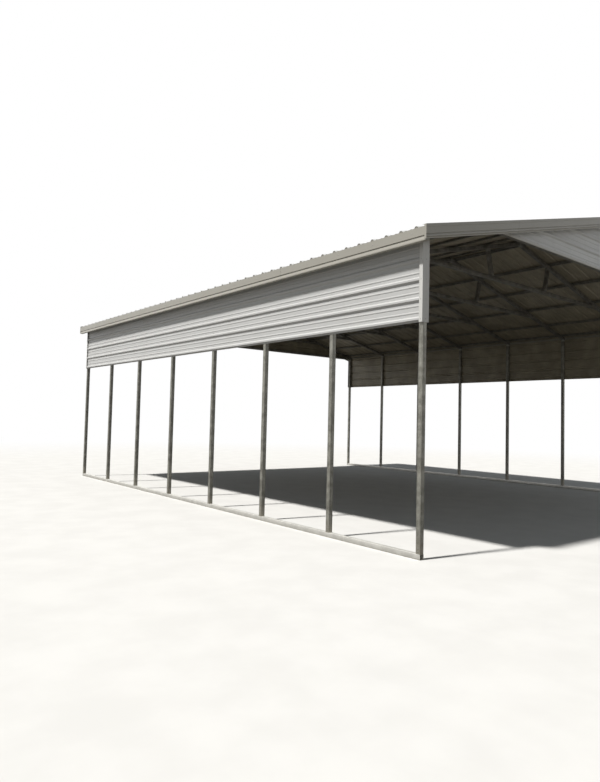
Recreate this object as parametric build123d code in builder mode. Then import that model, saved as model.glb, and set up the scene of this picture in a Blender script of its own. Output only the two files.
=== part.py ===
from build123d import *
import os
from math import atan, cos, degrees, radians

os.makedirs("parts", exist_ok=True)

# Driving dimensions, in millimetres. X runs across the width, Y along the
# length (the photographed front end is at -Y), Z up from the ground.

# Plan and height
frame_width = 9144.0          # outside face to outside face of the posts
bay_pitch = 1524.0            # centre to centre of the posts along a side
bay_count = 7
leg_height = 3658.0           # ground to the underside of a rafter, outer face
roof_rise = 3.0               # the roof climbs this much ...
roof_run = 12.0               # ... over this much
roof_overhang = 152.0         # past the frame, at the eaves and at both ends

# Square steel tube of the frame
tube = 63.5
tube_wall = 2.0

# Trusses
collar_rise = 372.0           # leg height to the underside of the collar tie
web_offset = 995.0            # centre line of the frame to a web's head, square to the rafter
web_root = 16.0               # a web's ends run this far into the tubes they meet
tie_drop = 18.0               # leg height down to the underside of the back tie beam

# Hat-section purlins
hat_depth = 32.0
hat_crown = 38.0
hat_flange = 25.0
hat_lean = 4.0                # a hat's webs lean in by this much from foot to crown
hat_gauge = 1.2
ridge_gap = 110.0             # ridge to the first purlin, measured level
purlin_spacing = 910.0
eave_purlin_inset = 120.0     # post's outer face to the lowest purlin

# Ribbed sheet
sheet_gauge = 1.0
rib_pitch = 228.6
rib_height = 19.0
rib_foot = 62.0
rib_crown = 22.0
minor_height = 4.0
minor_foot = 26.0
minor_crown = 12.0
panel_ribs = 5                # ribs across one sheet laid level
panel_lap = 10.0              # side sheet's top above the rafter's outer underside
sheet_edge = 6.0              # flat edge beyond the outermost ribs
sheet_ridge_gap = 15.0        # roof sheet stops this far from the ridge

# Folded trims
trim_gauge = 1.0
ridge_cap_reach = 180.0
rake_flange = 60.0
rake_brow = 34.0              # upright band at the top of a rake trim
rake_set = 3.0                # the face lies this far behind the brow
rake_face = 75.0
rake_groove = 12.0            # depth of the groove under the face
rake_kick = 26.0              # drip edge kicked out below the groove
rake_drop = 168.0             # top to bottom of a rake trim
rake_tab = 28.0               # return over the eave trim's end
tab_stand = 0.6               # the tab stands off the eave trim by this much
eave_flange = 45.0
eave_upper = 100.0            # face above the eave trim's groove
eave_groove = 9.0
eave_lip = 12.0               # upright edge at the bottom
eave_face = 158.0
eave_return = 57.0
corner_side_leg = 48.0
corner_front_leg = 112.0
corner_kick = 3.0             # the legs' edges turn out by this much
gable_drop = 2.0              # collar tie's underside to the front gable sheet's edge
back_gable_drop = 25.0        # leg height to the back gable sheet's edge
gable_trim_face = 35.0
seat_gap = 0.3                # where one folded piece slips over another

# Worked-out sizes
slope = roof_rise / roof_run
pitch_angle = degrees(atan(slope))
upright = 1 / cos(radians(pitch_angle))    # level cut through a sloping piece
half_width = frame_width / 2
frame_length = bay_count * bay_pitch + tube
half_length = frame_length / 2
roof_half = half_width + roof_overhang
roof_end = half_length + roof_overhang
ridge_under = leg_height + slope * half_width
collar_height = leg_height + collar_rise
tie_height = leg_height - tie_drop
rafter_top = ridge_under + tube * upright
purlin_top = rafter_top + hat_depth * upright
sheet_top = purlin_top + (rib_height + sheet_gauge) * upright
truss_places = [bay_pitch * (i - bay_count / 2) for i in range(bay_count + 1)]
sides = {"left": -1, "right": 1}


def at_slope(ridge_level, x):
    """Height at x of a roof plane that meets the ridge at ridge_level."""
    return ridge_level - slope * abs(x)


def chevron(ridge_level, depth, reach):
    """Corners of a band of the roof's form, with the given upright depth."""
    eave = at_slope(ridge_level, reach)
    top = [(-reach, eave), (0, ridge_level), (reach, eave)]
    return top + [(x, z - depth) for x, z in reversed(top)]


def upright_plane(y):
    """A plane across the frame whose normal points to +Y."""
    return Plane(origin=(0, y, 0), x_dir=(-1, 0, 0), z_dir=(0, 1, 0))


def folded_points(line):
    """Section of a folded trim: line runs along its outer skin, the gauge lies to the right of it."""
    steps = [(Vector(*b) - Vector(*a)).normalized() for a, b in zip(line, line[1:])]
    rights = [Vector(step.Y, -step.X) for step in steps]
    inner = []
    for corner, before, after in zip(line, rights[:1] + rights, rights + rights[-1:]):
        inner.append(Vector(*corner) + (before + after) * (trim_gauge / (1 + before.dot(after))))
    return line + [(point.X, point.Y) for point in reversed(inner)]


def finish(piece, name):
    piece.part.label = name
    export_step(piece.part, f"parts/{name}.step")


# Base rails, one along each long side, lying on the ground
for side, sign in sides.items():
    with BuildPart() as base_rail:
        with BuildSketch(Plane.XZ.offset(-half_length)):
            with Locations((sign * (half_width - tube / 2), tube / 2)):
                Rectangle(tube, tube)
                Rectangle(tube - 2 * tube_wall, tube - 2 * tube_wall, mode=Mode.SUBTRACT)
        extrude(amount=frame_length)
    finish(base_rail, f"base_rail_{side}")

# Posts stand on the rails and are mitred to the rafter's underside
for side, sign in sides.items():
    for number, y in enumerate(truss_places, start=1):
        post_x = sign * (half_width - tube / 2)
        inner_top = at_slope(ridge_under, half_width - tube)
        with BuildPart() as post:
            with BuildSketch(Plane.XY.offset(tube)):
                with Locations((post_x, y)):
                    Rectangle(tube, tube)
                    Rectangle(tube - 2 * tube_wall, tube - 2 * tube_wall, mode=Mode.SUBTRACT)
            extrude(amount=inner_top - tube)
            with BuildSketch(upright_plane(y - tube / 2)):
                with BuildLine():
                    Polyline(
                        (-sign * half_width, leg_height),
                        (-sign * (half_width - tube), inner_top),
                        (-sign * half_width, inner_top),
                        close=True,
                    )
                make_face()
            extrude(amount=tube, mode=Mode.SUBTRACT)
        finish(post, f"post_{side}_{number}")


def truss_outline(inset):
    """The truss's tubes seen end on, each drawn in by inset on its sides."""
    rafter_depth = (tube - 2 * inset) * upright
    rafter_level = rafter_top - inset * upright
    rafter_reach = half_width if inset == 0 else half_width + tube
    collar_under = collar_height + inset
    collar_over = collar_height + tube - inset
    collar_foot = (ridge_under + inset - collar_under) / slope
    collar_head = (ridge_under + inset - collar_over) / slope
    web_half = tube / 2 - inset
    with BuildSketch() as outline:
        with BuildLine():
            Polyline(*chevron(rafter_level, rafter_depth, rafter_reach), close=True)
        make_face()
        with BuildLine():
            Polyline(
                (-collar_foot, collar_under),
                (collar_foot, collar_under),
                (collar_head, collar_over),
                (-collar_head, collar_over),
                close=True,
            )
        make_face()
        heads = []
        feet = []
        for edge in (-web_half, web_half):
            x = web_offset + edge / upright
            z = at_slope(ridge_under, x)
            climb = web_root / upright
            fall = z - collar_over + web_root
            heads.append((x + slope * climb, z + climb))
            feet.append((x - slope * fall, z - fall))
        for way in sides.values():
            with BuildLine():
                corners = heads + feet[::-1]
                Polyline(*[(way * x, z) for x, z in corners], close=True)
            make_face()
    return outline.sketch


# Trusses: two rafters mitred at the ridge, a collar tie and two webs square to the rafters
for number, y in enumerate(truss_places, start=1):
    with BuildPart() as truss:
        with BuildSketch(upright_plane(y - tube / 2)):
            add(truss_outline(0))
        extrude(amount=tube)
        if number == len(truss_places):
            with BuildSketch(upright_plane(y - tube / 2)):
                with Locations((0, tie_height + tube / 2)):
                    Rectangle(frame_width - 2 * tube, tube)
            extrude(amount=tube)
        with BuildSketch(upright_plane(y - tube / 2 + tube_wall)):
            add(truss_outline(tube_wall))
        extrude(amount=tube - 2 * tube_wall, mode=Mode.SUBTRACT)
        if number == len(truss_places):
            with BuildSketch(upright_plane(y - tube / 2 + tube_wall)):
                with Locations((0, tie_height + tube / 2)):
                    Rectangle(frame_width - tube, tube - 2 * tube_wall)
            extrude(amount=tube - 2 * tube_wall, mode=Mode.SUBTRACT)
    finish(truss, f"truss_{number}")


def hat_points():
    """Corners of a hat section that stands on the sketch's X axis."""
    web_lean = hat_crown / 2 + hat_lean
    return [
        (-web_lean - hat_flange, 0),
        (-web_lean, 0),
        (-hat_crown / 2 + hat_gauge, hat_depth - hat_gauge),
        (hat_crown / 2 - hat_gauge, hat_depth - hat_gauge),
        (web_lean, 0),
        (web_lean + hat_flange, 0),
        (web_lean + hat_flange, hat_gauge),
        (web_lean + hat_gauge, hat_gauge),
        (hat_crown / 2, hat_depth),
        (-hat_crown / 2, hat_depth),
        (-web_lean - hat_gauge, hat_gauge),
        (-web_lean - hat_flange, hat_gauge),
    ]


# Purlins lie on the rafters and run the length of the roof, as many as fit before the lowest one
lowest_purlin = half_width - eave_purlin_inset
hat_width = hat_crown + 2 * (hat_lean + hat_flange)
purlin_count = int((lowest_purlin - hat_width - ridge_gap) // purlin_spacing) + 1
purlin_levels = [ridge_gap + purlin_spacing * i for i in range(purlin_count)]
purlin_levels.append(lowest_purlin)
purlin_end = roof_end - rake_set - trim_gauge
for side, sign in sides.items():
    with BuildPart() as purlins:
        for x in purlin_levels:
            across = Vector(sign, 0, -slope)
            seat = Plane(
                origin=(sign * x, purlin_end, at_slope(rafter_top, x)),
                x_dir=-across,
                z_dir=(0, 1, 0),
            )
            if sign < 0:
                seat = Plane(origin=seat.origin, x_dir=across, z_dir=(0, 1, 0))
            with BuildSketch(seat):
                with BuildLine():
                    Polyline(*hat_points(), close=True)
                make_face()
            extrude(amount=-2 * purlin_end)
    finish(purlins, f"purlins_{side}")


def rib_points(first_rib, count):
    """Upper line of a ribbed sheet: trapezoid ribs, two low ones in each pan."""
    points = []
    for i in range(count):
        axis = first_rib + i * rib_pitch
        points += [
            (axis - rib_foot / 2, sheet_gauge),
            (axis - rib_crown / 2, sheet_gauge + rib_height),
            (axis + rib_crown / 2, sheet_gauge + rib_height),
            (axis + rib_foot / 2, sheet_gauge),
        ]
        if i < count - 1:
            for third in (1, 2):
                low = axis + rib_pitch * third / 3
                points += [
                    (low - minor_foot / 2, sheet_gauge),
                    (low - minor_crown / 2, sheet_gauge + minor_height),
                    (low + minor_crown / 2, sheet_gauge + minor_height),
                    (low + minor_foot / 2, sheet_gauge),
                ]
    return points


def sheet_points(top):
    """Section of a sheet of even gauge whose underside follows its ribbed top."""
    under = [(u, v - sheet_gauge) for u, v in reversed(top)]
    return top + under


# Roof sheets, ribs running from ridge to eave
sheet_half = roof_end - trim_gauge - seat_gap
roof_rib_count = int((2 * sheet_half - rib_foot) // rib_pitch) + 1
first_roof_rib = -(roof_rib_count - 1) * rib_pitch / 2
sheet_run = (roof_half - sheet_ridge_gap) * upright
roof_line = [(-sheet_half, sheet_gauge)]
roof_line += rib_points(first_roof_rib, roof_rib_count)
roof_line += [(sheet_half, sheet_gauge)]
for side, sign in sides.items():
    with BuildPart() as roof_sheet:
        ridge_edge = Plane(
            origin=(sign * sheet_ridge_gap, 0, at_slope(purlin_top, sheet_ridge_gap)),
            x_dir=(0, sign, 0),
            z_dir=(sign, 0, -slope),
        )
        with BuildSketch(ridge_edge):
            with BuildLine():
                Polyline(*sheet_points(roof_line), close=True)
            make_face()
        extrude(amount=sheet_run)
    finish(roof_sheet, f"roof_sheet_{side}")

# Ridge cap, a folded strip on the ribs
with BuildPart() as ridge_cap:
    cap_end = roof_end - rake_flange - trim_gauge
    with BuildSketch(upright_plane(-cap_end)):
        with BuildLine():
            cap_top = sheet_top + trim_gauge * upright
            Polyline(*chevron(cap_top, trim_gauge * upright, ridge_cap_reach), close=True)
        make_face()
    extrude(amount=2 * cap_end)
finish(ridge_cap, "ridge_cap")

# Side sheets hang on the posts' outer faces, ribs running along the length
panel_cover = (panel_ribs - 1) * rib_pitch
panel_top = leg_height + panel_lap
panel_foot = panel_top - panel_cover - rib_foot - 2 * sheet_edge
first_panel_rib = panel_foot + sheet_edge + rib_foot / 2
panel_line = [(panel_foot, sheet_gauge)]
panel_line += rib_points(first_panel_rib, panel_ribs)
panel_line += [(panel_top, sheet_gauge)]
for side, sign in sides.items():
    with BuildPart() as side_panel:
        wall_face = Plane(
            origin=(sign * half_width, -half_length, 0),
            x_dir=(0, 0, 1),
            z_dir=(0, 1, 0),
        )
        if sign < 0:
            wall_face = Plane(
                origin=(sign * half_width, half_length, 0),
                x_dir=(0, 0, 1),
                z_dir=(0, -1, 0),
            )
        with BuildSketch(wall_face):
            with BuildLine():
                Polyline(*sheet_points(panel_line), close=True)
            make_face()
        extrude(amount=frame_length)
    finish(side_panel, f"side_panel_{side}")

# Gable sheets: level ribs, cut through a crown at the foot and to the rafters' top line
gable_limit = half_width + rib_height + sheet_gauge - corner_front_leg - seat_gap
gable_edges = {
    "front": (-1, collar_height - gable_drop),
    "back": (1, leg_height - back_gable_drop),
}
for end, (sign, gable_foot) in gable_edges.items():
    gable_ribs = int((rafter_top - gable_foot - rib_foot) // rib_pitch) + 1
    gable_line = rib_points(gable_foot + rib_crown / 2, gable_ribs)[1:]
    gable_line += [(rafter_top, sheet_gauge)]
    gable_reach = min((rafter_top - gable_foot) / slope, gable_limit)
    with BuildPart() as gable_sheet:
        end_face = Plane(
            origin=(sign * gable_reach, sign * half_length, 0),
            x_dir=(0, 0, 1),
            z_dir=(-sign, 0, 0),
        )
        with BuildSketch(end_face):
            with BuildLine():
                Polyline(*sheet_points(gable_line), close=True)
            make_face()
        extrude(amount=2 * gable_reach)
        with BuildSketch(upright_plane(sign * half_length)):
            with BuildLine():
                Polyline(
                    (-half_width, at_slope(rafter_top, half_width)),
                    (0, rafter_top),
                    (half_width, at_slope(rafter_top, half_width)),
                    (half_width, rafter_top + tube),
                    (-half_width, rafter_top + tube),
                    close=True,
                )
            make_face()
        extrude(amount=rib_height + sheet_gauge, both=True, mode=Mode.SUBTRACT)
    finish(gable_sheet, f"gable_sheet_{end}")

# Folded trim under the gable sheets' lower edges
for end, (sign, gable_foot) in gable_edges.items():
    trim_reach = min((rafter_top - gable_foot) / slope, gable_limit)
    depth = rib_height + sheet_gauge + seat_gap
    outer = half_length + depth + trim_gauge
    with BuildPart() as gable_trim:
        fold_line = Plane(
            origin=(-sign * trim_reach, 0, gable_foot - trim_gauge - seat_gap),
            x_dir=(0, sign, 0),
            z_dir=(sign, 0, 0),
        )
        with BuildSketch(fold_line):
            with BuildLine():
                Polyline(
                    (half_length, 0),
                    (outer, 0),
                    (outer, gable_trim_face),
                    (outer - trim_gauge, gable_trim_face),
                    (outer - trim_gauge, trim_gauge),
                    (half_length, trim_gauge),
                    close=True,
                )
            make_face()
        extrude(amount=2 * trim_reach)
    finish(gable_trim, f"gable_trim_{end}")

# Rake trims fold over the roof's ends: flange, brow, face, groove, drip edge and hem
trim_top = sheet_top + trim_gauge * upright
rake_reach = roof_half + tab_stand
groove_top = rake_brow + rake_set + rake_face
rake_line = [
    (-rake_flange, 0),
    (0, 0),
    (0, -rake_brow),
    (-rake_set, -rake_brow - rake_set),
    (-rake_set, -groove_top),
    (-rake_groove, -groove_top - rake_set),
    (-rake_groove, -groove_top - 2 * rake_set),
    (-trim_gauge, -groove_top - 2 * rake_set - rake_kick),
    (-rake_groove, -rake_drop + rake_groove),
    (-rake_groove, -rake_drop),
]
for end, sign in {"front": -1, "back": 1}.items():
    with BuildPart() as rake_trim:
        section_plane = Plane(origin=(0, sign * roof_end, trim_top), x_dir=(0, sign, 0), z_dir=(sign, 0, 0))
        for way in sides.values():
            with BuildSketch(section_plane):
                with BuildLine():
                    Polyline(*folded_points(rake_line), close=True)
                make_face()
            extrude(amount=rake_reach * upright, dir=(way, 0, -slope))
            tab_plane = Plane(
                origin=(way * rake_reach, sign * roof_end, at_slope(trim_top, rake_reach)),
                x_dir=(0, sign, 0),
                z_dir=(sign, 0, 0),
            )
            with BuildSketch(tab_plane):
                Rectangle(rake_tab, rake_drop, align=(Align.MAX, Align.MAX))
            extrude(amount=way * sign * trim_gauge)
    finish(rake_trim, f"rake_trim_{end}")

# Eave trims hang under the roof sheet's lower edge: flange, face, groove, kick, lip and return
eave_end = roof_end - rake_groove - trim_gauge - seat_gap
eave_line = [
    (-eave_flange, slope * eave_flange),
    (0, 0),
    (0, -eave_upper),
    (-eave_groove, -eave_upper - eave_groove / 2),
    (-eave_groove, -eave_upper - eave_groove),
    (0, -eave_face + eave_lip),
    (0, -eave_face),
    (-eave_return, -eave_face),
]
for side, sign in sides.items():
    with BuildPart() as eave_trim:
        section_plane = Plane(
            origin=(sign * roof_half, -sign * eave_end, at_slope(purlin_top, roof_half)),
            x_dir=(sign, 0, 0),
            z_dir=(0, -sign, 0),
        )
        with BuildSketch(section_plane):
            with BuildLine():
                Polyline(*folded_points(eave_line), close=True)
            make_face()
        extrude(amount=-2 * eave_end)
    finish(eave_trim, f"eave_trim_{side}")

# Corner trims wrap the side sheets' ends on to the corner posts, their edges turned out
corner_line = [
    (corner_kick, -corner_side_leg),
    (0, -corner_side_leg + 2 * corner_kick),
    (0, 0),
    (-corner_front_leg + 2 * corner_kick, 0),
    (-corner_front_leg, corner_kick),
]
for end, end_sign in {"front": -1, "back": 1}.items():
    for side, sign in sides.items():
        with BuildPart() as corner_trim:
            arris = Plane(
                origin=(sign * (half_width + rib_height + sheet_gauge), end_sign * half_length, panel_foot),
                x_dir=(sign, 0, 0),
                z_dir=(0, 0, sign * end_sign),
            )
            with BuildSketch(arris):
                with BuildLine():
                    Polyline(*folded_points(corner_line), close=True)
                make_face()
            extrude(amount=sign * end_sign * (panel_top - panel_foot))
        finish(corner_trim, f"corner_trim_{end}_{side}")
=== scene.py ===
import bpy
import math
import numpy as np
from mathutils import Matrix


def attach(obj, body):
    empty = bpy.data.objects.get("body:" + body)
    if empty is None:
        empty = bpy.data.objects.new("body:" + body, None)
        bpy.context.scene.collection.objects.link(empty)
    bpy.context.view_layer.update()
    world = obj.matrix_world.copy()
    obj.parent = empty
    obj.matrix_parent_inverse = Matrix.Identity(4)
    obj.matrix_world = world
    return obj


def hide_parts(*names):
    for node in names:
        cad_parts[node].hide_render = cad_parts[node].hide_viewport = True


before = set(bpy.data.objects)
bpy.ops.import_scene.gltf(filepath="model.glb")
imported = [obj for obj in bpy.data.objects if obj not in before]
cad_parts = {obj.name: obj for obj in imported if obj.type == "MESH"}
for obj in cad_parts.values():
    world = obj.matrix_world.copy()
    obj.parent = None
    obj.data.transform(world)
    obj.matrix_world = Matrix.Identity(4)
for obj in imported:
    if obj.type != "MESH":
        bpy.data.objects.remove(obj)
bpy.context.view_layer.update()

# Sizes in metres, as the solids have them: X across, Y along (front at -Y), Z up
half_width = 4.572
bay_pitch = 1.524
bay_count = 7
tube = 0.0635
tube_wall = 0.002
tube_corner = 0.005
slope = 0.25
leg_height = 3.658
collar_height = 4.030
web_offset = 0.995
tie_height = 3.640
hat_depth = 0.032
ridge_purlin = 0.110
purlin_spacing = 0.910
spaced_purlins = 5
eave_purlin_inset = 0.120
rib_pitch = 0.2286
rib_height = 0.019
rib_foot = 0.062
rib_crown = 0.022
roof_rib_count = 48
panel_rib_count = 5
lowest_panel_rib = 2.7166
sheet_gauge = 0.001
trim_gauge = 0.001
roof_overhang = 0.152
ridge_cap_reach = 0.180
rake_brow = 0.034
rake_set = 0.003
rake_face = 0.075
eave_upper = 0.100
corner_side_leg = 0.048
front_gable_drop = 0.002
back_gable_drop = 0.025

# Worked out from them; upright turns a distance square to the roof into an upright one
upright = math.hypot(1.0, slope)
half_length = (bay_count * bay_pitch + tube) / 2
roof_half = half_width + roof_overhang
roof_end = half_length + roof_overhang
ridge_under = leg_height + slope * half_width
rafter_middle = ridge_under + tube * upright / 2
rafter_top = ridge_under + tube * upright
purlin_top = rafter_top + hat_depth * upright
sheet_top = purlin_top + (rib_height + sheet_gauge) * upright
trim_top = sheet_top + trim_gauge * upright
truss_places = bay_pitch * (np.arange(bay_count + 1) - bay_count / 2)
purlin_lines = ridge_purlin + purlin_spacing * np.arange(spaced_purlins)
purlin_lines = np.append(purlin_lines, half_width - eave_purlin_inset)
roof_ribs = rib_pitch * (np.arange(roof_rib_count) - (roof_rib_count - 1) / 2)
panel_ribs = lowest_panel_rib + rib_pitch * np.arange(panel_rib_count)
front_gable_foot = collar_height - front_gable_drop
back_gable_foot = leg_height - back_gable_drop
sides = {"left": -1, "right": 1}
ends = {"front": -1, "back": 1}


# Shapes worked out as arrays

def grid_faces(count, rows, cols, wrap_rows, wrap_cols):
    """Corner numbers of the quads between neighbouring rows and columns of count equal grids."""
    r, c = np.meshgrid(
        np.arange(rows if wrap_rows else rows - 1),
        np.arange(cols if wrap_cols else cols - 1),
        indexing="ij",
    )
    r1, c1 = (r + 1) % rows, (c + 1) % cols
    corners = np.stack([r * cols + c, r * cols + c1, r1 * cols + c1, r1 * cols + c], axis=-1)
    starts = (np.arange(count) * rows * cols)[:, None, None, None]
    return (starts + corners).reshape(-1, 4), (r, c)


def piece(name, grids, material, wraps=(False, True), flip=False, uv=None, values=None, sharp=32):
    """One piece from equal grids of points, an array of grids x rows x columns x 3. Edges sharper than
    the angle sharp, in degrees, stay hard."""
    grids = np.asarray(grids, float)
    count, rows, cols = grids.shape[:3]
    faces, (r, c) = grid_faces(count, rows, cols, *wraps)
    if flip:
        faces = faces[:, ::-1]
    mesh = bpy.data.meshes.new(name)
    mesh.from_pydata(grids.reshape(-1, 3).tolist(), [], faces.tolist())
    if uv is not None:
        around, along = uv
        corner = np.stack([
            np.stack([around[c], along[r]], -1),
            np.stack([around[c + 1], along[r]], -1),
            np.stack([around[c + 1], along[r + 1]], -1),
            np.stack([around[c], along[r + 1]], -1),
        ], axis=2).reshape(-1, 4, 2)
        if flip:
            corner = corner[:, ::-1]
        layer = mesh.uv_layers.new(name="around_and_along")
        layer.data.foreach_set("uv", np.tile(corner.ravel(), count).astype(np.float32))
    for key, value in (values or {}).items():
        field = mesh.attributes.new(key, "FLOAT", "POINT")
        field.data.foreach_set("value", np.asarray(value, np.float32).ravel())
    mesh.shade_smooth()
    mesh.set_sharp_from_angle(angle=math.radians(sharp))
    mesh.validate()
    made = bpy.data.objects.new(name, mesh)
    bpy.context.scene.collection.objects.link(made)
    mesh.materials.append(material)
    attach(made, "root")
    return made


def points(x, y, z):
    """Points from numbers and arrays of x, y and z, spread over one another's shapes."""
    return np.stack(np.broadcast_arrays(x, y, z), axis=-1)


def spaced(first, last, spacing):
    """Places from first on, a spacing apart; the hundredth keeps one that falls on last."""
    return np.arange(first, last + spacing / 100, spacing)


def rounded_square(size, corner, steps=4):
    """Points of a square with round corners: at the angle t each corner's centre plus corner times
    (cosine of t, sine of t), a quarter turn of t to each corner."""
    t = (np.arange(4)[:, None] * np.pi / 2 + np.linspace(0, np.pi / 2, steps)[None, :]).ravel()
    quarter = np.repeat(np.arange(4) * np.pi / 2 + np.pi / 4, steps)
    reach = (size / 2 - corner) * math.sqrt(2)
    return np.stack([
        reach * np.cos(quarter) + corner * np.cos(t),
        reach * np.sin(quarter) + corner * np.sin(t),
    ], axis=-1)


weld_reach = 0.07             # how far a weld's zinc spray runs along its tube


def square_tube(start, end, across, cut_start, cut_end):
    """Grid of a square tube from start to end: a ring of the rounded square is slid along the axis until
    it meets each end's cutting plane; rows run down the outer wall and back along the inner one."""
    start, end = np.asarray(start, float), np.asarray(end, float)
    axis = end - start
    length = np.linalg.norm(axis)
    axis = axis / length
    e1 = np.asarray(across, float)
    e2 = np.cross(axis, e1)

    def ring(place, cut, size, corner, shift):
        flat = rounded_square(size, corner)
        off = flat[:, :1] * e1 + flat[:, 1:] * e2
        cut = np.asarray(cut, float)
        slide = -(off @ cut) / (axis @ cut)
        return place + off + (slide + shift)[:, None] * axis

    inner, inner_corner = tube - 2 * tube_wall, tube_corner - tube_wall
    rows = [
        ring(start, cut_start, tube, tube_corner, 0.0),
        ring(start, cut_start, tube, tube_corner, weld_reach),
        ring(end, cut_end, tube, tube_corner, -weld_reach),
        ring(end, cut_end, tube, tube_corner, 0.0),
        ring(end, cut_end, inner, inner_corner, 0.0),
        ring(start, cut_start, inner, inner_corner, 0.0),
    ]
    return np.stack(rows), length


def tube_piece(name, members, across, material):
    """Square tubes as one piece. A member is its start, its end, the two planes that cut its ends, and 1 or
    0 at either end for a weld. The UV map is the distance round and along each tube."""
    starts, finishes, start_cuts, end_cuts, start_marks, end_marks = zip(*members)
    built = [square_tube(start, finish, across, start_cut, end_cut)
             for start, finish, start_cut, end_cut in zip(starts, finishes, start_cuts, end_cuts)]
    grids = np.stack([grid for grid, _ in built])
    ring = rounded_square(tube, tube_corner)
    steps = np.linalg.norm(np.roll(ring, -1, 0) - ring, axis=1)
    around = np.concatenate([[0.0], np.cumsum(steps)])
    longest = max(length for _, length in built)
    along = np.array([
        0.0, weld_reach, longest - weld_reach, longest, longest + tube_wall, 2 * longest, 2 * longest,
    ])
    marks = np.zeros(grids.shape[:3])
    marks[:, 0] = np.array(start_marks)[:, None]
    marks[:, 3] = np.array(end_marks)[:, None]
    return piece(name, grids, material, wraps=(True, True), flip=True,
                 uv=(around, along), values={"weld": marks})


def side_axes(axes, direction, limit):
    """Two unit vectors square to each axis. The first is the axis crossed with the frame's own direction
    of that number, or with X where the axis runs close to it. The second is the axis crossed with it."""
    close = np.abs(axes[:, direction:direction + 1]) > limit
    e1 = np.cross(axes, np.where(close, [[1.0, 0, 0]], np.eye(3)[[direction]]))
    e1 = e1 / np.linalg.norm(e1, axis=1, keepdims=True)
    return e1, np.cross(axes, e1)


def hexagon(e1, e2):
    """Six points round each axis: the cosine of each sixth of a turn times e1 plus its sine times e2."""
    angle = np.arange(6) * np.pi / 3
    return np.cos(angle)[:, None] * e1[:, None, None] + np.sin(angle)[:, None] * e2[:, None, None]


# Radius and height of a screw from the sheet up: washer, its upper edge, head and the head's blunted top
screw_profile = np.array([
    (0.0072, 0.0), (0.0072, 0.0011), (0.0062, 0.0016), (0.0046, 0.0016),
    (0.0046, 0.0040), (0.0038, 0.0046), (0.0, 0.0046),
])


def screws(name, places, outward, material, size=1.0):
    """Hex-headed screws with washers: rings of six points, radius and height read from one profile,
    set on each place with the head along outward."""
    places = np.asarray(places, float).reshape(-1, 3)
    outward = np.broadcast_to(np.asarray(outward, float), places.shape)
    outward = outward / np.linalg.norm(outward, axis=1, keepdims=True)
    radius, height = (screw_profile * size).T
    ring = radius[:, None, None] * hexagon(*side_axes(outward, 1, 0.9))
    grids = places[:, None, None] + ring + height[:, None, None] * outward[:, None, None]
    return piece(name, grids, material, sharp=20)


def beads(name, starts, finishes, material, width=0.0032, ripples=6, ripple=0.16):
    """Weld beads: a small round ridge from start to finish whose radius swells and sinks with each ripple
    and closes at both ends, r(s) = width (1 - (2s - 1)^10) (1 + ripple x sine of the ripples' angle)."""
    starts, finishes = np.asarray(starts, float), np.asarray(finishes, float)
    axis = finishes - starts
    length = np.linalg.norm(axis, axis=1, keepdims=True)
    axis = axis / length
    s = np.linspace(0, 1, 25)
    least = 1e-5
    swell = width * (1 - (2 * s - 1) ** 10) * (1 + ripple * np.sin(s * 2 * ripples * np.pi)) + least
    spine = starts[:, None] + s[None, :, None] * (axis * length)[:, None]
    grids = spine[:, :, None] + swell[None, :, None, None] * hexagon(*side_axes(axis, 2, 0.8))
    return piece(name, grids, material, sharp=70)


# Shader nodes

def node_group(name, inputs, outputs):
    group = bpy.data.node_groups.new(name, "ShaderNodeTree")
    for label, kind, value in inputs:
        socket = group.interface.new_socket(label, in_out="INPUT", socket_type=kind)
        if value is not None:
            socket.default_value = value
    for label, kind in outputs:
        group.interface.new_socket(label, in_out="OUTPUT", socket_type=kind)
    return group, group.nodes.new("NodeGroupInput"), group.nodes.new("NodeGroupOutput")


def feed(tree, socket, value):
    """Links an output socket to the socket, or sets a plain value on it."""
    if isinstance(value, bpy.types.NodeSocket):
        tree.links.new(value, socket)
    else:
        socket.default_value = value


def add_node(tree, kind, settings=None, **values):
    """A node with its settings and socket values; i0, i1 and so on are sockets by number."""
    node = tree.nodes.new(kind)
    for key, value in (settings or {}).items():
        setattr(node, key, value)
    for key, value in values.items():
        by_number = key[0] == "i" and key[1:].isdigit()
        feed(tree, node.inputs[int(key[1:])] if by_number else node.inputs[key], value)
    return node


def group_node(tree, group, **values):
    return add_node(tree, "ShaderNodeGroup", {"node_tree": group}, **values)


def maths(tree, operation, a, b=0.0, clamp=False):
    settings = {"operation": operation, "use_clamp": clamp}
    return add_node(tree, "ShaderNodeMath", settings, i0=a, i1=b).outputs[0]


def plus(tree, a, b, clamp=False):
    return maths(tree, "ADD", a, b, clamp)


def times(tree, a, b, clamp=False):
    return maths(tree, "MULTIPLY", a, b, clamp)


def less_half(tree, value):
    return maths(tree, "SUBTRACT", value, 0.5)


def ramp(tree, value, low, high, to_low=0.0, to_high=1.0):
    return add_node(
        tree, "ShaderNodeMapRange", {"interpolation_type": "SMOOTHSTEP"},
        Value=value, **{"From Min": low, "From Max": high, "To Min": to_low, "To Max": to_high},
    ).outputs["Result"]


def blend_colours(tree, factor, a, b):
    node = add_node(tree, "ShaderNodeMix", {"data_type": "RGBA"}, i0=factor, i6=a, i7=b)
    return node.outputs[2]


def noise(tree, vector, scale, detail=3.0, roughness=0.5):
    return add_node(
        tree, "ShaderNodeTexNoise", Vector=vector, Scale=scale, Detail=detail, Roughness=roughness,
    ).outputs["Fac"]


def vector_maths(tree, operation, a, b):
    return add_node(tree, "ShaderNodeVectorMath", {"operation": operation}, i0=a, i1=b)


def stretched(tree, vector, scale):
    return vector_maths(tree, "MULTIPLY", vector, scale).outputs[0]


def dotted(tree, a, b):
    return vector_maths(tree, "DOT_PRODUCT", a, b).outputs["Value"]


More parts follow.
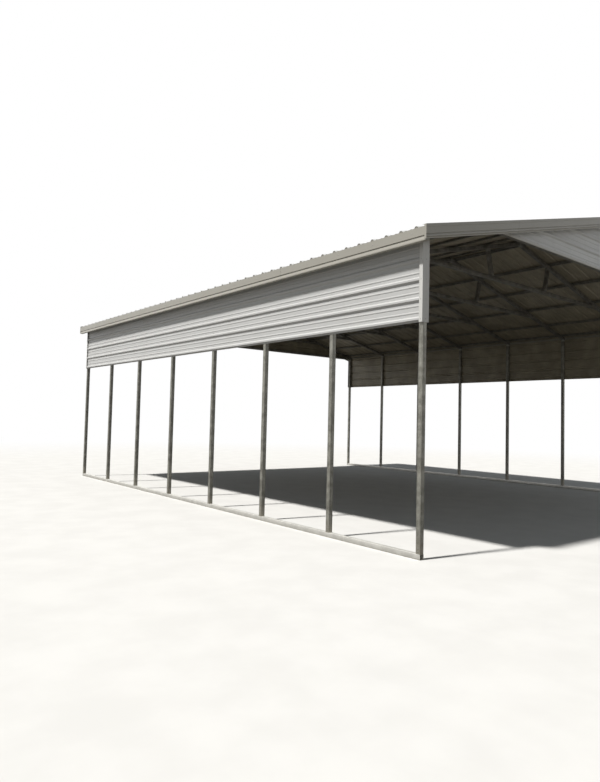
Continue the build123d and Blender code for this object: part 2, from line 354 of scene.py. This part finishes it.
def bump(tree, height, distance, strength=1.0):
    return add_node(tree, "ShaderNodeBump", Height=height, Distance=distance, Strength=strength).outputs[0]


def make_zinc_group():
    """Zinc coating: cloudy mottling, small crystal flakes and long drawn marks."""
    group, given, out = node_group(
        "zinc_coating",
        [("Place", "NodeSocketVector", None), ("Drawn", "NodeSocketVector", None),
         ("Light", "NodeSocketColor", (0.5, 0.5, 0.5, 1)), ("Dark", "NodeSocketColor", (0.3, 0.3, 0.3, 1)),
         ("Flakes", "NodeSocketFloat", 0.3)],
        [("Color", "NodeSocketColor"), ("Roughness", "NodeSocketFloat"), ("Height", "NodeSocketFloat")],
    )
    place, drawn = given.outputs["Place"], given.outputs["Drawn"]
    clouds = noise(group, place, scale=9.0, detail=5.0, roughness=0.62)
    flakes = add_node(group, "ShaderNodeTexVoronoi", {"feature": "F1"}, Vector=place, Scale=130.0)
    flake_tone = add_node(group, "ShaderNodeSeparateColor", Color=flakes.outputs["Color"]).outputs[0]
    marks = noise(group, drawn, scale=1.0, detail=4.0, roughness=0.6)
    cloud_tone = ramp(group, clouds, 0.32, 0.70)
    tone = plus(group, cloud_tone, times(group, less_half(group, flake_tone), given.outputs["Flakes"]))
    tone = plus(group, tone, times(group, less_half(group, marks), 0.9), True)
    colour = blend_colours(group, tone, given.outputs["Dark"], given.outputs["Light"])
    rough = plus(group, 0.36, times(group, clouds, 0.28))
    height = plus(group, times(group, clouds, 0.4), times(group, flake_tone, 0.15))
    group.links.new(colour, out.inputs["Color"])
    group.links.new(rough, out.inputs["Roughness"])
    group.links.new(height, out.inputs["Height"])
    return group


def make_dust_group():
    """Splashed dust: strongest at the ground, fading upwards with a ragged edge."""
    group, given, out = node_group(
        "ground_dust",
        [("Place", "NodeSocketVector", None), ("Height", "NodeSocketFloat", 0.45)],
        [("Mask", "NodeSocketFloat")],
    )
    z = add_node(group, "ShaderNodeSeparateXYZ", Vector=given.outputs["Place"]).outputs["Z"]
    rise = maths(group, "DIVIDE", z, given.outputs["Height"])
    splashes = noise(group, given.outputs["Place"], scale=6.0, detail=4.0)
    ragged = plus(group, rise, times(group, splashes, 0.7))
    group.links.new(ramp(group, ragged, 0.25, 1.25, 1.0, 0.0), out.inputs["Mask"])
    return group


def make_weather_group():
    """Weathering of painted sheet: faint runs down the slope, cloudy film, and dust on what faces up."""
    group, given, out = node_group(
        "weathered_paint",
        [("Place", "NodeSocketVector", None), ("Runs", "NodeSocketVector", None),
         ("Normal", "NodeSocketVector", None), ("Paint", "NodeSocketColor", (0.75, 0.75, 0.74, 1)),
         ("Film", "NodeSocketColor", (0.45, 0.42, 0.36, 1)), ("Dirt", "NodeSocketFloat", 0.25)],
        [("Color", "NodeSocketColor"), ("Roughness", "NodeSocketFloat"), ("Height", "NodeSocketFloat")],
    )
    place = given.outputs["Place"]
    film = noise(group, place, scale=1.3, detail=5.0, roughness=0.6)
    film = ramp(group, film, 0.42, 0.75)
    runs = noise(group, given.outputs["Runs"], scale=1.0, detail=4.0, roughness=0.65)
    runs = ramp(group, runs, 0.50, 0.80)
    rise = add_node(group, "ShaderNodeSeparateXYZ", Vector=given.outputs["Normal"]).outputs["Z"]
    upward = ramp(group, rise, 0.15, 0.75)
    speckle = noise(group, place, scale=60.0, detail=3.0, roughness=0.7)
    speckle = ramp(group, speckle, 0.52, 0.72)
    dirt = plus(group, times(group, film, 0.35), times(group, runs, 0.45))
    dirt = plus(group, dirt, times(group, upward, 0.35))
    dirt = plus(group, dirt, times(group, speckle, 0.22))
    dirt = times(group, dirt, given.outputs["Dirt"], True)
    colour = blend_colours(group, dirt, given.outputs["Paint"], given.outputs["Film"])
    rough = plus(group, 0.34, times(group, dirt, 0.5), True)
    waves = noise(group, stretched(group, place, (1.0, 0.35, 1.6)), scale=2.4, detail=2.0)
    group.links.new(colour, out.inputs["Color"])
    group.links.new(rough, out.inputs["Roughness"])
    group.links.new(waves, out.inputs["Height"])
    return group


zinc_group = make_zinc_group()
dust_group = make_dust_group()
weather_group = make_weather_group()


# Materials

def new_material(name):
    material = bpy.data.materials.new(name)
    material.use_nodes = True
    tree = material.node_tree
    shader = tree.nodes["Principled BSDF"]
    return material, tree, shader


def set_finish(tree, shader, colour, roughness, metallic, relief=None):
    tree.links.new(colour, shader.inputs["Base Color"])
    tree.links.new(roughness, shader.inputs["Roughness"])
    shader.inputs["Metallic"].default_value = metallic
    if relief is not None:
        tree.links.new(relief, shader.inputs["Normal"])


def galvanised_tube(name, light, dark, dust_tone=(0.42, 0.38, 0.31, 1), spray_tone=0.5):
    """Zinc on tube: a little darker beside the corners, brighter spray at the welds, dust at the foot."""
    corner_spacing = 0.0614       # run round the tube from one corner to the next
    corner_lead = 0.026           # brings each corner to the middle of its turn
    material, tree, shader = new_material(name)
    coordinates = tree.nodes.new("ShaderNodeTexCoord")
    place = coordinates.outputs["Object"]
    drawn = stretched(tree, coordinates.outputs["UV"], (90.0, 3.0, 1.0))
    zinc = group_node(tree, zinc_group, Place=place, Drawn=drawn, Light=light, Dark=dark, Flakes=0.34)
    around = add_node(tree, "ShaderNodeSeparateXYZ", Vector=coordinates.outputs["UV"]).outputs["X"]
    turn = maths(tree, "FRACT", maths(tree, "DIVIDE", plus(tree, around, corner_lead), corner_spacing))
    by_corner = ramp(tree, maths(tree, "ABSOLUTE", less_half(tree, turn)), 0.16, 0.36, 1.0, 0.0)
    colour = blend_colours(tree, times(tree, by_corner, 0.30), zinc.outputs["Color"], dark)
    weld = tree.nodes.new("ShaderNodeAttribute")
    weld.attribute_name = "weld"
    spray = times(tree, weld.outputs["Fac"], 1.6)
    spray = plus(tree, spray, times(tree, noise(tree, place, scale=45.0, detail=4.0), 0.8))
    spray = ramp(tree, spray, 0.75, 1.25)
    spray_share = times(tree, spray, 0.75)
    spray_colour = blend_colours(tree, spray_tone, light, (0.6, 0.6, 0.6, 1))
    colour = blend_colours(tree, spray_share, colour, spray_colour)
    dust = group_node(tree, dust_group, Place=place, Height=0.40)
    colour = blend_colours(tree, times(tree, dust.outputs["Mask"], 0.55), colour, dust_tone)
    relief = bump(tree, zinc.outputs["Height"], distance=0.0006)
    set_finish(tree, shader, colour, zinc.outputs["Roughness"], 0.45, relief)
    return material


def galvanised_strip(name):
    """Zinc on rolled strip: plainer than the tube's, with marks along the rolling direction."""
    material, tree, shader = new_material(name)
    place = tree.nodes.new("ShaderNodeTexCoord").outputs["Object"]
    zinc = group_node(tree, zinc_group, Place=place, Drawn=stretched(tree, place, (60.0, 1.2, 60.0)),
                      Light=(0.34, 0.328, 0.30, 1), Dark=(0.18, 0.172, 0.153, 1), Flakes=0.22)
    relief = bump(tree, zinc.outputs["Height"], distance=0.0004)
    set_finish(tree, shader, zinc.outputs["Color"], zinc.outputs["Roughness"], 0.4, relief)
    return material


def painted_sheet(name, outward, runs_scale, dirt, paint):
    """Paint outside and a brown-grey backer coat inside, told apart by which way a face looks. The backer
    coat is given darker than it is, as painted shade on the inner faces.
    """
    material, tree, shader = new_material(name)
    coordinates = tree.nodes.new("ShaderNodeTexCoord")
    place, normal = coordinates.outputs["Object"], coordinates.outputs["Normal"]
    weather = group_node(tree, weather_group, Place=place, Runs=stretched(tree, place, runs_scale),
                         Normal=normal, Paint=paint, Film=(0.40, 0.38, 0.33, 1), Dirt=dirt)
    inside = ramp(tree, dotted(tree, normal, outward), -0.06, -0.02, 1.0, 0.0)
    clouds = ramp(tree, noise(tree, place, scale=2.2, detail=5.0, roughness=0.6), 0.35, 0.70)
    # Backer coat in two tones, both darker than the coat itself: painted shade on the inner faces
    backing_with_painted_shade = blend_colours(tree, clouds, (0.295, 0.265, 0.200, 1), (0.400, 0.360, 0.275, 1))
    colour = blend_colours(tree, inside, weather.outputs["Color"], backing_with_painted_shade)
    relief = bump(tree, weather.outputs["Height"], distance=0.006, strength=0.5)
    set_finish(tree, shader, colour, weather.outputs["Roughness"], 0.0, relief)
    return material


def painted_trim(name, along, paint, dirt):
    """Paint in lengths of about three metres, each a shade apart, with a dark lap line between."""
    trim_length = 3.048
    first_lap = 5.9               # the first lap stands this far before the middle
    material, tree, shader = new_material(name)
    coordinates = tree.nodes.new("ShaderNodeTexCoord")
    place, normal = coordinates.outputs["Object"], coordinates.outputs["Normal"]
    weather = group_node(tree, weather_group, Place=place, Runs=stretched(tree, place, (9.0, 9.0, 1.0)),
                         Normal=normal, Paint=paint, Film=(0.34, 0.32, 0.28, 1), Dirt=dirt)
    cell = maths(tree, "DIVIDE", plus(tree, dotted(tree, place, along), first_lap), trim_length)
    from_middle = maths(tree, "ABSOLUTE", less_half(tree, maths(tree, "FRACT", cell)))
    lap = ramp(tree, from_middle, 0.4990, 0.4998)
    shade = add_node(tree, "ShaderNodeTexWhiteNoise", {"noise_dimensions": "1D"},
                     W=maths(tree, "FLOOR", cell)).outputs["Value"]
    shade_share = times(tree, shade, 0.10)
    colour = blend_colours(tree, shade_share, weather.outputs["Color"], (0.42, 0.41, 0.37, 1))
    colour = blend_colours(tree, times(tree, lap, 0.8), colour, (0.10, 0.10, 0.09, 1))
    relief = bump(tree, weather.outputs["Height"], distance=0.004, strength=0.35)
    set_finish(tree, shader, colour, weather.outputs["Roughness"], 0.0, relief)
    return material


def small_metal(name, light, dark, metallic):
    """Finish of screw heads and weld beads: two tones in small clouds, rougher where lighter."""
    material, tree, shader = new_material(name)
    place = tree.nodes.new("ShaderNodeTexCoord").outputs["Object"]
    tone = noise(tree, place, scale=40.0)
    colour = blend_colours(tree, ramp(tree, tone, 0.35, 0.7), dark, light)
    set_finish(tree, shader, colour, ramp(tree, tone, 0.3, 0.7, 0.35, 0.6), metallic)
    return material


tube_finish = galvanised_tube(
    "galvanised_tube", light=(0.38, 0.375, 0.33, 1), dark=(0.185, 0.180, 0.155, 1),
)
# The base rails are the posts' zinc given far paler: partly pale dust, partly a painted highlight for the
# sun on their tops
rail_finish_with_painted_light = galvanised_tube(
    "dusty_galvanised_tube_with_painted_light", light=(0.68, 0.68, 0.64, 1), dark=(0.46, 0.46, 0.43, 1),
    dust_tone=(0.82, 0.79, 0.73, 1),
)
truss_finish = galvanised_tube(
    "dull_galvanised_tube", light=(0.33, 0.32, 0.298, 1), dark=(0.17, 0.163, 0.147, 1), spray_tone=0.2,
)
strip_finish = galvanised_strip("galvanised_strip")

# One white paint for all the sheets: the roof and side sheets, which face the key light, are given darker
# than the gable sheets' white, as painted shade
roof_white_with_painted_shade = (0.66, 0.665, 0.66, 1)
side_white_with_painted_shade = (0.60, 0.60, 0.592, 1)
gable_paint = (0.745, 0.75, 0.745, 1)
stone_paint = (0.395, 0.378, 0.332, 1)
pale_paint = (0.62, 0.61, 0.575, 1)
corner_paint = (0.75, 0.745, 0.72, 1)
roof_runs, wall_runs = (1.2, 9.0, 1.2), (5.0, 5.0, 0.8)
roof_finish = painted_sheet("roof_sheet_paint_with_painted_shade", (0, 0, 1), roof_runs, 0.35, roof_white_with_painted_shade)
wall_finishes = {
    "side_panel_left": painted_sheet("side_sheet_paint_with_painted_shade_left", (-1, 0, 0), wall_runs, 0.22, side_white_with_painted_shade),
    "side_panel_right": painted_sheet("side_sheet_paint_with_painted_shade_right", (1, 0, 0), wall_runs, 0.22, side_white_with_painted_shade),
    "gable_sheet_front": painted_sheet("gable_sheet_paint_front", (0, -1, 0), wall_runs, 0.20, gable_paint),
    "gable_sheet_back": painted_sheet("gable_sheet_paint_back", (0, 1, 0), wall_runs, 0.20, gable_paint),
}
# The eave trim carries more of the weathering film than the rake trim: partly run-off dirt, partly painted
# shade along the eave
eave_finish = painted_trim("eave_trim_paint", (0, 1, 0), stone_paint, 0.45)
rake_finish = painted_trim("rake_trim_paint", (1, 0, 0), stone_paint, 0.30)
cap_finish = painted_trim("ridge_cap_paint", (0, 1, 0), pale_paint, 0.35)
gable_trim_finish = painted_trim("gable_trim_paint", (1, 0, 0), pale_paint, 0.25)
# A corner trim is one length: a run of 0.3 to the metre keeps laps off it
corner_finish = painted_trim("corner_trim_paint", (0, 0, 0.3), corner_paint, 0.20)
painted_screw = small_metal("painted_screw_heads", (0.62, 0.62, 0.60, 1), (0.46, 0.46, 0.44, 1), 0.0)
zinc_screw = small_metal("zinc_screw_heads", (0.50, 0.50, 0.48, 1), (0.28, 0.28, 0.27, 1), 0.7)
weld_finish = small_metal("weld_beads", (0.40, 0.40, 0.39, 1), (0.20, 0.19, 0.18, 1), 0.6)


def paint(node, material):
    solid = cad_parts[node]
    solid.data.materials.clear()
    solid.data.materials.append(material)


for side in sides:
    paint(f"purlins_{side}", strip_finish)
    paint(f"roof_sheet_{side}", roof_finish)
    paint(f"eave_trim_{side}", eave_finish)
    for end in ends:
        paint(f"corner_trim_{end}_{side}", corner_finish)
for end in ends:
    paint(f"rake_trim_{end}", rake_finish)
    paint(f"gable_trim_{end}", gable_trim_finish)
paint("ridge_cap", cap_finish)
for node, material in wall_finishes.items():
    paint(node, material)


# Base rails and posts, with round corners and open ends
level_cut, length_cut, width_cut = (0, 0, 1), (0, 1, 0), (1, 0, 0)
along_x, along_y = (1, 0, 0), (0, 1, 0)
rail_axis = tube / 2
post_top = ridge_under - slope * (half_width - tube / 2)
for side, sign in sides.items():
    post_x = sign * (half_width - tube / 2)
    rail = ((post_x, -half_length, rail_axis), (post_x, half_length, rail_axis),
            length_cut, length_cut, 0, 0)
    made = tube_piece(f"base_rail_tube_{side}", [rail], along_x, rail_finish_with_painted_light)
    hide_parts(f"base_rail_{side}")
    roof_cut = (sign * slope, 0, 1)
    for number, y in enumerate(truss_places, start=1):
        post = ((post_x, y, tube), (post_x, y, post_top), level_cut, roof_cut, 0, 1)
        made = tube_piece(f"post_tube_{side}_{number}", [post], along_y, tube_finish)
        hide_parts(f"post_{side}_{number}")

# Trusses: two rafters with a web under each, the collar tie, and the tie beam on the last one
rafter_foot = rafter_middle - slope * half_width
collar_axis = collar_height + tube / 2
collar_end = (ridge_under - collar_axis) / slope
web_head = ridge_under - slope * web_offset
web_foot = collar_height + tube
web_foot_x = web_offset - slope * (web_head - web_foot)
tie_axis = tie_height + tube / 2
post_inner = half_width - tube
for number, y in enumerate(truss_places, start=1):
    members = []
    for sign in sides.values():
        members.append(((0, y, rafter_middle), (sign * half_width, y, rafter_foot),
                        width_cut, width_cut, 1, 0))
        members.append(((sign * web_foot_x, y, web_foot), (sign * web_offset, y, web_head),
                        level_cut, (sign * slope, 0, 1), 1, 1))
    members.append(((-collar_end, y, collar_axis), (collar_end, y, collar_axis),
                    (-slope, 0, 1), (slope, 0, 1), 1, 1))
    if number == len(truss_places):
        members.append(((-post_inner, y, tie_axis), (post_inner, y, tie_axis), width_cut, width_cut, 1, 1))
    made = tube_piece(f"truss_tubes_{number}", members, along_y, truss_finish)
    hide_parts(f"truss_{number}")


# Weld beads where the trusses' tubes meet: at the ridge, the collar tie's ends, the web's ends and the post

def under_rafter(x):
    """The place x across, with the height of the rafters' underside there."""
    return x, ridge_under - slope * x


bead_runs = [
    (under_rafter((ridge_under - collar_height) / slope),
     under_rafter((ridge_under - collar_height - tube) / slope)),
    (under_rafter(web_offset - tube / 2 / upright), under_rafter(web_offset + tube / 2 / upright)),
    ((web_foot_x - tube / 2 * upright, web_foot), (web_foot_x + tube / 2 * upright, web_foot)),
    (under_rafter(post_inner), under_rafter(half_width)),
]
bead_from, bead_to = [], []
for y in truss_places:
    for face in (-1, 1):
        line = y + face * tube / 2
        if abs(line) > half_length - tube / 2:
            continue              # covered by the gable sheets and corner trims
        bead_from.append((0, line, ridge_under))
        bead_to.append((0, line, rafter_top))
        for sign in sides.values():
            for (from_x, from_z), (to_x, to_z) in bead_runs:
                bead_from.append((sign * from_x, line, from_z))
                bead_to.append((sign * to_x, line, to_z))
beads("truss_weld_beads", bead_from, bead_to, weld_finish)

# Screws through the sheets and trims along each side
pan_offset = 0.047            # from a rib's axis to the flat beside it, where screws go
trim_screw_pitch = 0.6096
eave_screw_reach = 5.30
cap_screw_inset = 0.022
foot_screw_heights = [0.092, 0.128]
for side, sign in sides.items():
    x = purlin_lines[1:, None]
    pan = purlin_top + sheet_gauge * upright - slope * x
    screws(f"roof_screws_{side}", points(sign * x, roof_ribs + pan_offset, pan),
           (sign * slope, 0, 1), painted_screw)
    z = np.append(panel_ribs[:-1] + pan_offset, panel_ribs[-1] - pan_offset)
    screws(f"side_panel_screws_{side}", points(sign * (half_width + sheet_gauge), truss_places[:, None], z),
           (sign, 0, 0), painted_screw)
    y = spaced(-eave_screw_reach, eave_screw_reach, trim_screw_pitch)
    eave_line = purlin_top - slope * roof_half - eave_upper / 2
    screws(f"eave_trim_screws_{side}", points(sign * roof_half, y, eave_line),
           (sign, 0, 0), painted_screw, size=0.9)
    x = ridge_cap_reach - cap_screw_inset
    screws(f"ridge_cap_screws_{side}", points(sign * x, roof_ribs[::2][1:-1], trim_top - slope * x),
           (sign * slope, 0, 1), painted_screw)
    for word, face in (("outer", sign), ("inner", -sign)):
        x = sign * (half_width - tube / 2) + face * tube / 2
        screws(f"post_foot_screws_{word}_{side}", points(x, truss_places[:, None], foot_screw_heights),
               (face, 0, 0), zinc_screw)

# Screws and rivets on the gables. For each gable sheet: its lower edge, heights above that edge of the
# screws along the rafters, and height, reach to each side and spacing of the level row
gable_screws = {
    "front": (front_gable_foot, [0.058, 0.192, 0.286, 0.421, 0.515, 0.650], 0.050, 2.60, 0.4727),
    "back": (back_gable_foot, [0.192, 0.286, 0.421, 0.515, 0.650, 0.744, 0.878, 0.972, 1.106],
             0.058, 4.20, 0.60),
}
first_rivet, last_rivet = 0.30, 4.6
flange_screw_inset = 0.035
corner_screw_line = half_width - 0.040
corner_skin = half_width + rib_height + sheet_gauge + trim_gauge
for end, sign in ends.items():
    foot, heights, row_height, reach, spacing = gable_screws[end]
    z = foot + np.array(heights)
    x = (rafter_middle - z) / slope
    row_x = spaced(-reach, reach, spacing)
    across = np.concatenate([x, -x, row_x])
    up = np.concatenate([z, z, np.full_like(row_x, foot + row_height)])
    screws(f"gable_sheet_screws_{end}", points(across, sign * (half_length + sheet_gauge), up),
           (0, sign, 0), painted_screw)
    x = spaced(first_rivet, last_rivet, trim_screw_pitch)
    x = np.concatenate([-x, x])
    face_line = trim_top - rake_brow - rake_set - rake_face / 2 - slope * np.abs(x)
    screws(f"rake_trim_rivets_{end}", points(x, sign * (roof_end - rake_set), face_line),
           (0, sign, 0), painted_screw, size=0.6)
    top = trim_top - slope * np.abs(x)
    for side, way in sides.items():
        half = np.sign(x) == way
        screws(f"rake_flange_screws_{end}_{side}",
               points(x[half], sign * (roof_end - flange_screw_inset), top[half]),
               (way * slope, 0, 1), painted_screw, size=0.9)
    for side, way in sides.items():
        screws(f"corner_trim_side_screws_{end}_{side}",
               points(way * corner_skin, sign * (half_length - corner_side_leg / 2), panel_ribs),
               (way, 0, 0), painted_screw, size=0.9)
        screws(f"corner_trim_end_screws_{end}_{side}",
               points(way * corner_screw_line, sign * (half_length + trim_gauge), panel_ribs),
               (0, sign, 0), painted_screw, size=0.9)

# Closure plugs in the ribs' open ends at the eaves: the rib's outline, a little smaller, carried a plug's
# length up the slope and drawn to its middle at both ends
plug_fit = 0.97
plug_inset, plug_length = 0.002, 0.025
rib_middle = np.array([0, rib_height / 2])
outline = np.array([
    (-rib_foot / 2, 0.0), (rib_foot / 2, 0.0), (rib_crown / 2, rib_height), (-rib_crown / 2, rib_height),
])
outline = plug_fit * (outline - rib_middle) + rib_middle
plug_rows = np.stack([0 * outline + rib_middle, outline, outline, 0 * outline + rib_middle])
for side, sign in sides.items():
    out_to = (roof_half - plug_inset - plug_length * np.array([0, 0, 1, 1]))[None, :, None]
    lift = plug_rows[None, :, :, 1]
    y = roof_ribs[:, None, None] + plug_rows[None, :, :, 0]
    x = sign * (out_to + lift * slope / upright)
    z = purlin_top - slope * out_to + lift / upright
    piece(f"eave_closure_plugs_{side}", points(x, y, z), eave_finish, flip=sign > 0, sharp=20)

# Side laps of the roof sheets, one over every fourth rib: a thin closed ring folded over the rib and down
# to a lip beside it. Its skin lies over the sheet, its lining just clears it, and the ends draw together
lap_lip = 0.006
lap_skin, lap_lining, lap_middle = 0.0012, 0.0003, 0.0007
lap_line = np.array([
    (-rib_foot / 2, 0.0), (-rib_crown / 2, rib_height), (rib_crown / 2, rib_height),
    (rib_foot / 2, 0.0), (rib_foot / 2 + lap_lip, 0.0),
])
lap_across = np.concatenate([lap_line[:, 0], lap_line[::-1, 0]])
lap_lift = np.concatenate([lap_line[:, 1], lap_line[::-1, 1]]) + sheet_gauge
lap_shell = np.repeat([lap_skin, lap_lining], len(lap_line))
lap_end = np.full_like(lap_shell, lap_middle)
lap_cap_gap, lap_eave_inset = 0.004, 0.002
lap_from, lap_to = ridge_cap_reach + lap_cap_gap, roof_half - lap_eave_inset
lap_ribs = roof_ribs[3::4]
for side, sign in sides.items():
    reach = np.array([lap_from, lap_from, lap_to, lap_to])[None, :, None]
    lift = (lap_lift + np.stack([lap_end, lap_shell, lap_shell, lap_end]))[None]
    x = sign * (reach + lift * slope / upright)
    y = lap_ribs[:, None, None] + lap_across
    z = purlin_top - slope * reach + lift / upright
    piece(f"roof_side_laps_{side}", points(x, y, z), roof_finish, flip=sign < 0)


# Floor, background, light and camera

def floor_material():
    """Pale floor that keeps the shadow near the object and melts into the white background far away."""
    melt_from, melt_to = 11.0, 26.0
    material, tree, shader = new_material("pale_floor")
    place = tree.nodes.new("ShaderNodeTexCoord").outputs["Object"]
    grain = noise(tree, place, scale=2.0, detail=4.0)
    seen = tree.nodes.new("ShaderNodeLightPath").outputs["Is Camera Ray"]
    pale = blend_colours(tree, ramp(tree, grain, 0.3, 0.7), (0.70, 0.69, 0.67, 1), (0.74, 0.73, 0.71, 1))
    colour = blend_colours(tree, seen, (0.185, 0.178, 0.164, 1), pale)
    tree.links.new(colour, shader.inputs["Base Color"])
    shader.inputs["Roughness"].default_value = 0.9
    shader.inputs["Specular IOR Level"].default_value = 0.1
    glow = add_node(tree, "ShaderNodeEmission", Color=(1, 1, 1, 1), Strength=1.0)
    distance = add_node(tree, "ShaderNodeVectorMath", {"operation": "LENGTH"}, i0=place).outputs["Value"]
    far = times(tree, ramp(tree, distance, melt_from, melt_to), seen)
    mix = add_node(tree, "ShaderNodeMixShader", i0=far, i1=shader.outputs[0], i2=glow.outputs[0])
    tree.links.new(mix.outputs[0], tree.nodes["Material Output"].inputs["Surface"])
    return material


floor_reach = 90.0
floor_corners = floor_reach * np.array([(-1, -1, 0), (1, -1, 0), (1, 1, 0), (-1, 1, 0)])
floor_mesh = bpy.data.meshes.new("floor")
floor_mesh.from_pydata(floor_corners.tolist(), [], [(0, 1, 2, 3)])
floor_mesh.materials.append(floor_material())
floor = bpy.data.objects.new("floor", floor_mesh)
bpy.context.scene.collection.objects.link(floor)

world = bpy.data.worlds.new("studio")
bpy.context.scene.world = world
world.use_nodes = True
sky = world.node_tree
sky.nodes.clear()
dim = add_node(sky, "ShaderNodeBackground", Color=(0.86, 0.94, 1.0, 1), Strength=0.165)
bright = add_node(sky, "ShaderNodeBackground", Color=(1, 1, 1, 1), Strength=1.0)
path = sky.nodes.new("ShaderNodeLightPath")
shown = maths(sky, "MAXIMUM", path.outputs["Is Camera Ray"], path.outputs["Is Transmission Ray"])
shown = maths(sky, "MAXIMUM", shown, path.outputs["Is Glossy Ray"])
mixed = add_node(sky, "ShaderNodeMixShader", i0=shown, i1=dim.outputs[0], i2=bright.outputs[0])
sky_output = sky.nodes.new("ShaderNodeOutputWorld")
sky.links.new(mixed.outputs[0], sky_output.inputs["Surface"])


def standing(x_axis, y_axis, z_axis, place):
    """Matrix whose columns are an object's three axes and its place."""
    columns = np.column_stack([x_axis, y_axis, z_axis, place])
    return Matrix(np.vstack([columns, [0, 0, 0, 1]]).tolist())


to_sun = np.array([-0.50, 0.09, 0.86])
sun_place = [-12, 2, 15]
key = bpy.data.lights.new("key_light", "SUN")
key.energy = 4.4
key.angle = math.radians(3.5)
key.color = (1.0, 0.985, 0.955)
key_lamp = bpy.data.objects.new("key_light", key)
bpy.context.scene.collection.objects.link(key_lamp)
z_axis = to_sun / np.linalg.norm(to_sun)
x_axis = np.cross([0, 0, 1.0], z_axis)
x_axis = x_axis / np.linalg.norm(x_axis)
y_axis = np.cross(z_axis, x_axis)
key_lamp.matrix_world = standing(x_axis, y_axis, z_axis, sun_place)

# Camera fitted to the photograph's posts, eave, rake and truss lines
yaw, pitch, roll = -0.68112, 0.04649, 0.02380
camera_place = [-9.91292, -9.76556, 1.54305]
focal_pixels = 601.889
picture_height_pixels = 782
sensor_mm = 36
forward = np.array([-math.sin(yaw) * math.cos(pitch), math.cos(yaw) * math.cos(pitch), math.sin(pitch)])
level_right = np.array([math.cos(yaw), math.sin(yaw), 0.0])
level_up = np.cross(level_right, forward)
right = math.cos(roll) * level_right + math.sin(roll) * level_up
up = -math.sin(roll) * level_right + math.cos(roll) * level_up
camera_data = bpy.data.cameras.new("camera")
camera_data.sensor_width = sensor_mm
camera_data.lens = focal_pixels / picture_height_pixels * sensor_mm
camera_data.clip_end = 400.0
camera = bpy.data.objects.new("camera", camera_data)
bpy.context.scene.collection.objects.link(camera)
camera.matrix_world = standing(right, up, -forward, camera_place)
bpy.context.scene.camera = camera
bpy.context.scene.view_settings.view_transform = "Standard"
